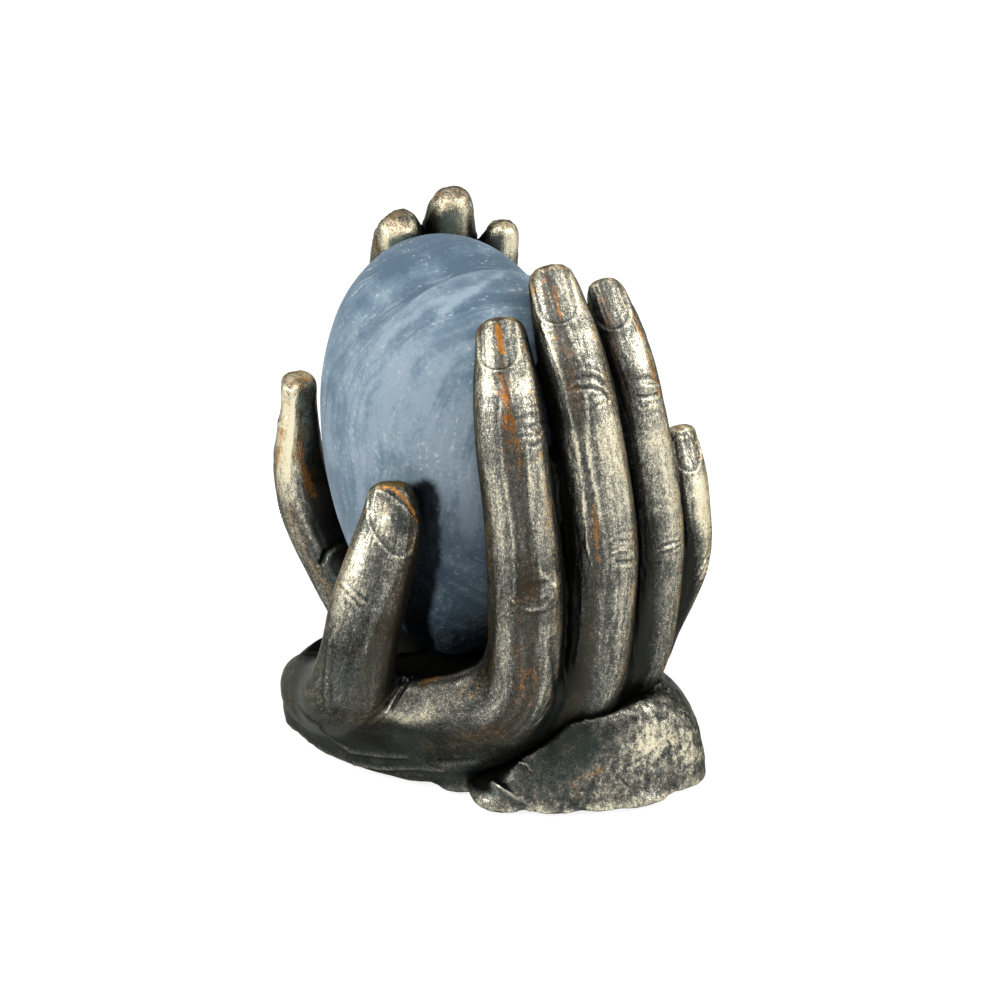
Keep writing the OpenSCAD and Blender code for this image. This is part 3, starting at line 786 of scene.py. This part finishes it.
left.backs = [[-0.5, -0.85, 0], [-1, -0.15, 0], [-1, 0, 0], [-1, 0.1, 0], [-0.95, 0.3, 0]]
left.nails = [
    (11, 13, 1.6, 0, 0), (9, 12, 2.6, 0, 0), (9.4, 14, 2, 0, 0), (8.4, 11.5, 1.5, 0, 0),
    (6.4, 8.5, 2, 0, 0)]
left.joints = [
    [(2.3, 0, 0.8)], [(2.1, 0, 1), (3, 0, 1)], [(2.1, 0, 1), (3, 0, 1)], [(2.1, 0, 1), (2.95, 0, 1)],
    [(2, 0, 1), (2.9, 0, 0.8)]]
# The stripe of painted shade on each digit: place along it, and its sides in degrees from the nail
left.stripes = [[(1, 108, 160), (4, 108, 160)]] + [[(1, -14, 10), (4, -8, 8)]] * 4
left.rusty = [0.5, 0, 0, 0, 0]
left.warm = [0.3, 0.2, 0.2, 0.2, 0.2]
left.square = [0.9, 0.4, 0.4, 0.4, 0.4]
left.folds = [
    ([(-24.3, -25.8, 53.4), (-23.8, -29, 52.7), (-23.9, -31.7, 51), (-24.1, -32.9, 48.4)], 0.7, 1),
    ([(41.6, -9.5, 7.7), (45.2, -7.9, 6.9), (47.1, -5.8, 5.3), (48.2, -2, 4)], 0.9, -0.8),
    ([(57, 21, 9.5), (56.7, 21.8, 8), (56.2, 24.2, 5.1), (55.8, 25.5, 2)], 0.4, 0.5),
    ([(46.3, 35.6, 29.1), (44.9, 38.4, 28.4), (46.9, 39.2, 27.4)], 1.0, -0.6),
    ([(45.2, -3.6, 14.4), (47.2, -2.4, 14.6), (48.3, -1.8, 13.3)], 0.5, -0.5),
    ([(-32, -39.2, 71.3), (-31.4, -38.6, 77.5), (-29.8, -37.6, 86.8), (-28.2, -37.5, 96.2),
      (-29.2, -36.7, 100.1)], 1.2, -0.4)]
# Spots brushed brighter or left darker, among them painted highlights and painted shade
left.brushed = [
    ((57, 38, 12), 13, 0.6), ((56, 18, 7), 9, 0.6), ((54.4, 42.4, 15.2), 5, 0.35),
    ((52, 4, 21), 10, -0.7), ((54.9, 10, 26), 7, -0.5), ((56.6, 21.5, 21.3), 4, 0.4),
    ((56.8, 26, 17.3), 5, 0.6), ((56.8, 29, 18.1), 4, 0.4), ((56.8, 32, 20.4), 5, 0.5),
    ((56.8, 14.3, 14), 3, 0.4), ((55.8, 7.5, 10.5), 3, 0.4), ((-30, -37.8, 96), 3.5, 1.1),
    ((-30, -38, 91), 4.5, 1.3), ((-30, -38, 86), 4.5, 1.3), ((-31, -38.5, 81), 4.5, 1.3),
    ((-31.4, -38.8, 76), 3.5, 1.3), ((-32, -39.2, 71), 3.5, 1.2), ((-31, -38.7, 66), 3.5, 0.6),
    ((-29, -37.5, 60), 6, 0.3), ((-31.5, -5.5, 144), 4.5, -0.5), ((-29, 8.5, 149.5), 5.5, -0.5),
    ((-27.5, 24, 140.5), 4.5, -0.4), ((-29, -8, 135), 4.5, 0.8), ((-27, 9, 139.5), 5.5, 1.1),
    ((-26, 26, 132), 4.5, 0.9), ((43, -6, 8), 8, 0.3), ((51.5, -0.6, 5.5), 6, 0.35),
    ((58, 48, 22), 8, -0.3)]
left.ambered = [
    ([(-28.5, -36, 92), (-28.5, -36, 86), (-30.1, -36.4, 78.8), (-30, -34.8, 74.3), (-29.6, -33.7, 69.8),
      (-29, -32.8, 66.8)], 1.6, 0.7),
    ([(-32.8, -40.5, 86), (-32.8, -40.5, 83.2), (-35.1, -41.1, 76.4), (-38, -41, 69.3)], 1.6, 0.6),
    ([(-31, -39, 101), (-31, -36, 102.5), (-30, -33, 101)], 1.4, 0.6),
    ([(-35.5, -9.7, 132.9), (-31, -9.8, 139.2)], 1.2, 0.4),
    ([(-25.6, 21.3, 134.6), (-27.7, 24, 138.8)], 1.2, 0.4),
    ([(56.8, 14.3, 14), (56, 10, 12), (55.8, 7.5, 10.5)], 2.0, 0.4),
    ([(56, 19, 9), (55, 14, 6), (54, 8, 6)], 2.0, 0.4)]
left.lumps = [
    ((41, 35, 22), (9, 9, 9)), ((39, -6, 3), (10, 9, 7)), ((47, 7, 3), (8.5, 11, 4.5)),
    ((50, 17, 3), (9, 9, 4.5)), ((51.5, 27, 3), (9.5, 12, 4.5)), ((49.5, 40, 3), (8, 10, 4.5))]
left.softened = [
    ((57, 32, 20), 20, 0.22), ((52, 46, 25), 17, 0.15), ((40, -5, 4), 12, 0.15), ((53, 10, 6), 10, 0.2)]
left_hand = sculpted("left_hand", left)
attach(left_hand, "root")
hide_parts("left_hand")

# The heart: a puffy resin body with two soft lobes above and a point that stands in the palms.
# It is brush-painted in slate blue, with white strokes that sweep round it, under a satin varnish. Shade is
# painted low on it and beside the near thumb.
LOBE_LIFT, LOBE_ROUNDING = 20.0, 0.15
CLEFT_DEPTH, CLEFT_WIDTH_SHARE = 8.0, 0.24
SWELL_SHARE = 0.16
# The line that the strokes of the brush sweep round: a place on it and its way
SWIRL_PLACE, SWIRL_WAY = np.array([10.85, 17.71, 81.2]), np.array([0.832, -0.39, 0.394])
bpy.ops.object.select_all(action="DESELECT")
bpy.ops.mesh.primitive_uv_sphere_add(segments=256, ring_count=160, radius=1)
heart = bpy.context.object
heart.name = heart.data.name = "heart_painted"
ball = mesh_arrays(heart)[0] * MM
# the sphere's poles look along Y, where the heart is smooth
x, y, z = ball[:, 0], -ball[:, 2], ball[:, 1]
lobe = np.sqrt(x * x + LOBE_ROUNDING ** 2) - LOBE_ROUNDING
cleft = np.exp(-(x / CLEFT_WIDTH_SHARE) ** 2) * np.maximum(z, 0) ** 2
set_places(heart, HEART_MIDDLE + np.stack([
    x * HEART_HALF[0], y * HEART_HALF[1] * (1 + SWELL_SHARE * z),
    z * HEART_HALF[2] + lobe * LOBE_LIFT - cleft * CLEFT_DEPTH], 1))
co, _, normal = mesh_arrays(heart)
off = co - SWIRL_PLACE
off = off - (off @ SWIRL_WAY)[:, None] * SWIRL_WAY
side = units(np.cross([0, 0, 1], SWIRL_WAY))
rise = np.cross(SWIRL_WAY, side)
angle = np.arctan2(off @ rise, off @ side)
swirl = np.stack([np.cos(angle) * 9, np.sin(angle) * 9, np.linalg.norm(off, axis=1) + 3 * np.sin(angle)], 1)
# Strokes of the brush: points in mm, width and how much lighter
heart_strokes = [
    ([(-8.6, 20.5, 131.2), (5, 11, 137.5), (20.6, 1.6, 140.8), (23.3, -5, 139.9), (24.4, -11, 137.7),
      (24.4, -16.3, 134.5)], 1.1, 0.45),
    ([(24, -8.1, 139), (25.1, -16.7, 133.8), (24.5, -23.2, 127.4), (23.5, -28.3, 119.1),
      (21.8, -31.9, 109.2), (18.8, -34.3, 96.1), (15.1, -34.9, 83.6)], 3.0, 0.22),
    ([(15.6, -18.1, 135.7), (16.4, -25.3, 129), (15.4, -31.3, 118.9), (13.4, -35.5, 105.3),
      (10.1, -36.9, 90.4)], 4.5, 0.2),
    ([(-10.2, -13.2, 137.4), (-8.8, -5.3, 138.7), (-7.3, 5.4, 137.4), (-7.4, 14.1, 134.6)], 9.0, -0.3),
    ([(22, 6, 139), (25.1, -5, 139.5), (26, -12.6, 136.6), (25.5, -19.1, 132.1), (25, -24, 125)],
     3.5, -0.16),
    ([(31.6, -23.6, 115.4), (35.7, -21.5, 100.5), (37, -17, 88)], 13.0, 0.36),
    ([(17.5, -4.4, 36.5), (13.4, -5.6, 32.9), (9.5, -6.9, 30.4)], 1.2, 0.9)]
# Painted shadow of the near thumb on the heart, in black: points in mm and width
thumb_shadow_lines = [
    ([(33.4, -23.9, 92.4), (33.3, -22.8, 86.1), (31.9, -21.8, 77), (29.8, -21.1, 70), (23.6, -21.3, 59),
      (16.4, -19.9, 46.4), (11, -16.5, 37.5), (7, -14, 31)], 3.0),
    ([(31, -28, 88), (28, -27.5, 76), (24, -26, 63), (18, -25, 52), (11, -22, 42), (4, -17, 33)], 4.8)]
lightened = sum(amount * hump(line_distance(co, points), width) for points, width, amount in heart_strokes)
calm = hump(line_distance(co, [(31.6, -23.6, 118), (36, -20, 94)]), 16)
thumb_shadowed = sum(hump(line_distance(co, points), width) for points, width in thumb_shadow_lines)
by_thumb = hump(line_distance(co, thumb_shadow_lines[0][0]), 9)
rough = np.clip(smoothstep(62, 45, co[:, 2]) + thumb_shadowed + by_thumb, 0, 1)
waves = 0.16 * field(co, 14.0, 62)
pits = 0.18 * smoothstep(0.5, 0.75, field(co, 2.2, 61))
fine_pits = 0.3 * rough * smoothstep(0.2, 0.5, field(co, 1.2, 63))
set_places(heart, co + normal * (waves - pits - fine_pits)[:, None])
for name, values in (("lightened", lightened), ("pitted", rough), ("calm", calm), ("thumb_shadowed", thumb_shadowed),
                     ("swirl", swirl)):
    note(heart, name, values)
heart.data.shade_smooth()
SLATE = (0.105, 0.165, 0.225, 1)
SLATE_BLUE = (0.185, 0.27, 0.345, 1)
PALE_BLUE = (0.33, 0.42, 0.50, 1)
WHITE_PAINT = (0.62, 0.68, 0.73, 1)
SHADOW_BLACK = (0.007, 0.010, 0.013, 1)
stone_paint, shader = new_material("slate_blue_paint")
place = Paint.node("TexCoord", (), (), 3)
strokes = attribute("swirl", 1)
bend = Paint.node("TexNoise", (), {"Vector": place, "Scale": 28, "Detail": 2.0}, 1)
strokes = Paint.node("VectorMath", {"operation": "MULTIPLY_ADD"}, {0: bend, 1: (6, 6, 16), 2: strokes})
wide_stroke = grain(scaled(strokes, (0.07, 0.07, 0.13)), 1.0, 2, 0.5)
fine_stroke = grain(scaled(strokes, (0.13, 0.13, 0.75)), 1.0, 4, 0.65)
cloud = grain(place, 45, 4, 0.6)
blotch = grain(place, 120, 3, 0.6)
dabs = grain(scaled(strokes, (0.4, 0.4, 1.6)), 1.0, 2, 0.6)
speck = grain(place, 900, 3, 0.6)
height = Paint.node("SeparateXYZ", (), {0: place}, 2)
tone = (((wide_stroke - 0.5) * 1.1 + (fine_stroke - 0.5) * 0.6) * (1 - attribute("calm") * 0.6)
        + (cloud - 0.5) * 0.8 + (blotch - 0.5) * 0.8 + attribute("lightened") * (fine_stroke + 0.5))
base = (tone + (speck - 0.5) * 0.3).step(-0.28, 0.12).over(SLATE, SLATE_BLUE)
lighter = (tone + (speck - 0.5) * 0.5).step(0.0, 0.42).over(base, PALE_BLUE)
flecks = (speck + (dabs - 0.5) * 0.7).step(0.63, 0.74) * blotch.step(0.38, 0.58)
bristle = grain(scaled(strokes, (0.07, 0.07, 2.4)), 1.0, 3, 0.65)
streaks = (bristle + (blotch - 0.5) * 0.5).step(0.56, 0.78)
crumbs = (speck + (blotch - 0.5) * 0.4).step(0.56, 0.68) * attribute("pitted") * 0.4
white = (flecks * 0.75 + streaks * 0.28 + crumbs).maths("MINIMUM", 1.0).over(lighter, WHITE_PAINT)
# painted shade low on the heart, where it stands in the palms
low = (height + (cloud - 0.5) * 0.03).step(0.060, 0.030) * 0.33
# painted shadow of the near thumb, near black, and metallic there
thumb_shadow = (attribute("thumb_shadowed") + (blotch - 0.5) * 0.9 + (speck - 0.5) * 0.8).step(0.15, 0.95) * 0.95
# painted shade low on the heart and painted shadow beside the thumb, laid on in near-black
heart_shade = low.maths("MAXIMUM", thumb_shadow)
feed(shader, "Base Color", heart_shade.over(white, SHADOW_BLACK))
feed(shader, "Metallic", thumb_shadow)
shader.inputs["Specular Tint"].default_value = (0.2, 0.23, 0.26, 1)
feed(shader, "Roughness", 0.42 + speck * 0.2)
bump = Paint.node("Bump", (), {"Strength": 0.35, "Distance": 0.0002, "Height": speck + fine_stroke})
feed(shader, "Normal", bump)
heart.data.materials.append(stone_paint)
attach(heart, "root")
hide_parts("heart")

# Steel dowel pins, one for the heart and two that tie the hands: drawn rod, glued into drilled holes.
# They are hidden in the finished piece and keep the CAD's own meshes.
DARK_STEEL = (0.42, 0.42, 0.43, 1)
BRIGHT_STEEL = (0.6, 0.6, 0.61, 1)
steel, shader = new_material("drawn_steel")
place = Paint.node("TexCoord", (), (), 3)
drawn = grain(scaled(place, (1, 1, 0.05)), 4000, 2)
shader.inputs["Metallic"].default_value = 1.0
feed(shader, "Base Color", drawn.over(DARK_STEEL, BRIGHT_STEEL))
feed(shader, "Roughness", 0.3 + drawn * 0.2)


def coat(node, material):
    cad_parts[node].data.materials.clear()
    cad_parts[node].data.materials.append(material)


coat("heart_pin", steel)
coat("tie_pins", steel)

# Felt feet, punched from black wool felt and stuck to the undersides of both stumps.
# They keep the CAD's own meshes too.
BLACK_WOOL = (0.008, 0.008, 0.009, 1)
GREY_WOOL = (0.035, 0.035, 0.038, 1)
felt, shader = new_material("black_felt")
place = Paint.node("TexCoord", (), (), 3)
fibre = grain(place, 3000, 4, 0.7)
feed(shader, "Base Color", fibre.over(BLACK_WOOL, GREY_WOOL))
shader.inputs["Roughness"].default_value = 1.0
feed(shader, "Normal", Paint.node("Bump", (), {"Strength": 0.8, "Distance": 0.0003, "Height": fibre}))
coat("felt_pads_right", felt)
coat("felt_pads_left", felt)

# The studio: a white sweep, two soft boxes at the sides and one above, and the camera of the photograph.
FLOOR_SIZE = 8
FLOOR_COLOUR = (0.42, 0.42, 0.42, 1)
FLOOR_GLOW = (0.86, 0.86, 0.86, 1)
NO_GLOW = (0, 0, 0, 1)
bpy.ops.object.select_all(action="DESELECT")
bpy.ops.mesh.primitive_plane_add(size=FLOOR_SIZE, location=(0, 0, 0))
floor = bpy.context.object
floor.name = "floor"


def seen_directly():
    """1 for the camera and for what metal and glass show, 0 for the light that falls on the object."""
    kinds = ("Camera", "Glossy", "Transmission")
    rays = [Paint.node("LightPath", (), (), "Is %s Ray" % kind) for kind in kinds]
    return (rays[0] + rays[1] + rays[2]).maths("MINIMUM", 1.0)


floor_white, shader = new_material("floor_white")
shader.inputs["Base Color"].default_value = FLOOR_COLOUR
shader.inputs["Roughness"].default_value = 1.0
shader.inputs["Emission Strength"].default_value = 1.0
feed(shader, "Emission Color", seen_directly().over(NO_GLOW, FLOOR_GLOW))
floor.data.materials.append(floor_white)

ROOM_LIGHT = 0.22
world = bpy.data.worlds.new("studio")
world.use_nodes = True
bpy.context.scene.world = world
Paint.tree = world.node_tree
sky = world.node_tree.nodes["Background"]
sky.inputs["Color"].default_value = (1, 1, 1, 1)
feed(sky, "Strength", seen_directly() * (1 - ROOM_LIGHT) + ROOM_LIGHT)

AIM = Vector((0.00652, 0.00788, 0.0724))
PHOTO_AZIMUTH, PHOTO_ELEVATION, PHOTO_DISTANCE = 66.0, 24.0, 0.6
LONG_LENS, SENSOR_WIDTH = 80, 36


def way_back(azimuth, elevation):
    """The way from the object to where it is looked at, or lit, from these angles in degrees."""
    a, e = math.radians(azimuth), math.radians(elevation)
    return Vector((math.sin(a) * math.cos(e), -math.cos(a) * math.cos(e), math.sin(e)))


# Each soft box's name, turn from the camera, elevation, distance, width, height and power
SOFT_BOXES = [
    ("left_box", -68, 28, 0.9, 0.22, 0.7, 4.5), ("right_box", 65, 28, 0.9, 0.22, 0.7, 4.2),
    ("front_box", -15, 62, 0.9, 0.6, 0.6, 3.0)]
for name, turn, elevation, distance, wide, high, power in SOFT_BOXES:
    lamp = bpy.data.objects.new(name, bpy.data.lights.new(name, "AREA"))
    bpy.context.scene.collection.objects.link(lamp)
    lamp.data.shape = "RECTANGLE"
    lamp.data.size, lamp.data.size_y = wide, high
    lamp.data.energy = power
    back = way_back(PHOTO_AZIMUTH + turn, elevation)
    lamp.location = AIM + back * distance
    lamp.rotation_euler = back.to_track_quat("Z", "Y").to_euler()

camera = bpy.data.objects.new("camera", bpy.data.cameras.new("camera"))
bpy.context.scene.collection.objects.link(camera)
camera.data.lens = LONG_LENS
camera.data.sensor_width = SENSOR_WIDTH
camera.data.clip_start = 0.01
back = way_back(PHOTO_AZIMUTH, PHOTO_ELEVATION)
camera.location = AIM + back * PHOTO_DISTANCE
camera.rotation_euler = back.to_track_quat("Z", "Y").to_euler()
bpy.context.scene.camera = camera
bpy.context.scene.view_settings.view_transform = "Standard"
